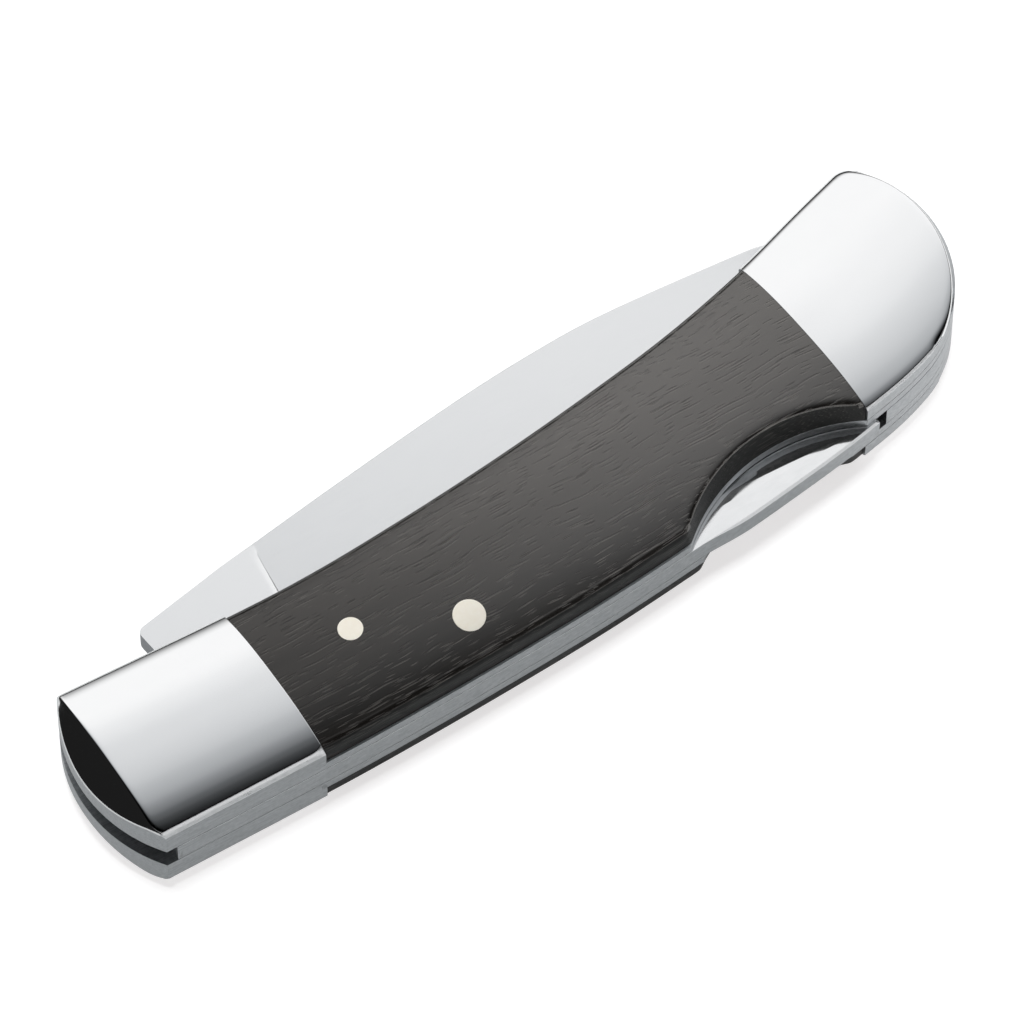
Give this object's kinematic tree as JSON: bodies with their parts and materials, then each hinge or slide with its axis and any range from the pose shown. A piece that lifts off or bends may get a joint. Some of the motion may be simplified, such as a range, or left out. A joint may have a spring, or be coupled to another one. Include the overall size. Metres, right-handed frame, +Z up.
{
  "type": "folding pocket knife",
  "caption": "Folding lock-back pocket knife with crowned metal bolsters, dark wood scales and a thumb notch, closed.",
  "frame": {"origin": "under the middle of the closed knife's box, on the surface it lies on", "axes": "+X from the pivot end to the butt, +Y from the back with the lock bar to the side where the blade comes out, +Z up through the knife's thickness"},
  "size_m": [0.1004, 0.0302, 0.0128],
  "materials": {
    "polished_steel": "mirror polished, faint polishing haze",
    "satin_steel": "satin, ground lengthwise",
    "blade_steel": "fine satin, nearly polished",
    "spring_steel": "ground, unpolished",
    "bronze": "rolled sheet",
    "pale_alloy": "polished flush with the scale",
    "ebony": "oiled and buffed, open grain along the handle"
  },
  "bodies": {
    "handle": {"liner_top": "satin_steel", "liner_bottom": "satin_steel", "front_bolster_top": "polished_steel", "front_bolster_bottom": "polished_steel", "rear_bolster_top": "polished_steel", "rear_bolster_bottom": "polished_steel", "scale_top": "ebony", "scale_bottom": "ebony", "scale_pin_top": "pale_alloy", "scale_pin_bottom": "pale_alloy", "lock_bar_pin": "pale_alloy", "pivot_pin": "spring_steel", "butt_pin_1": "spring_steel", "butt_pin_2": "spring_steel", "washer_top": "bronze", "washer_bottom": "bronze", "back_spring": "spring_steel", "butt_spacer": "satin_steel"},
    "blade": {"blade": "blade_steel"},
    "lock_bar": {"lock_bar": "satin_steel"}
  },
  "joints": [
    {"name": "blade_pivot", "type": "hinge", "parent": "handle", "child": "blade", "pos_m": [-0.04053, -0.00448, 0.0064], "axis": [0, 0, 1], "range_deg": [0, 170]},
    {"name": "lock_bar_rock", "type": "hinge", "parent": "handle", "child": "lock_bar", "pos_m": [-0.01043, -0.00965, 0.0064], "axis": [0, 0, 1], "range_deg": [-2, 2], "stiffness_Nm_per_rad": 0.4, "deforming": ["back_spring"]}
  ]
}
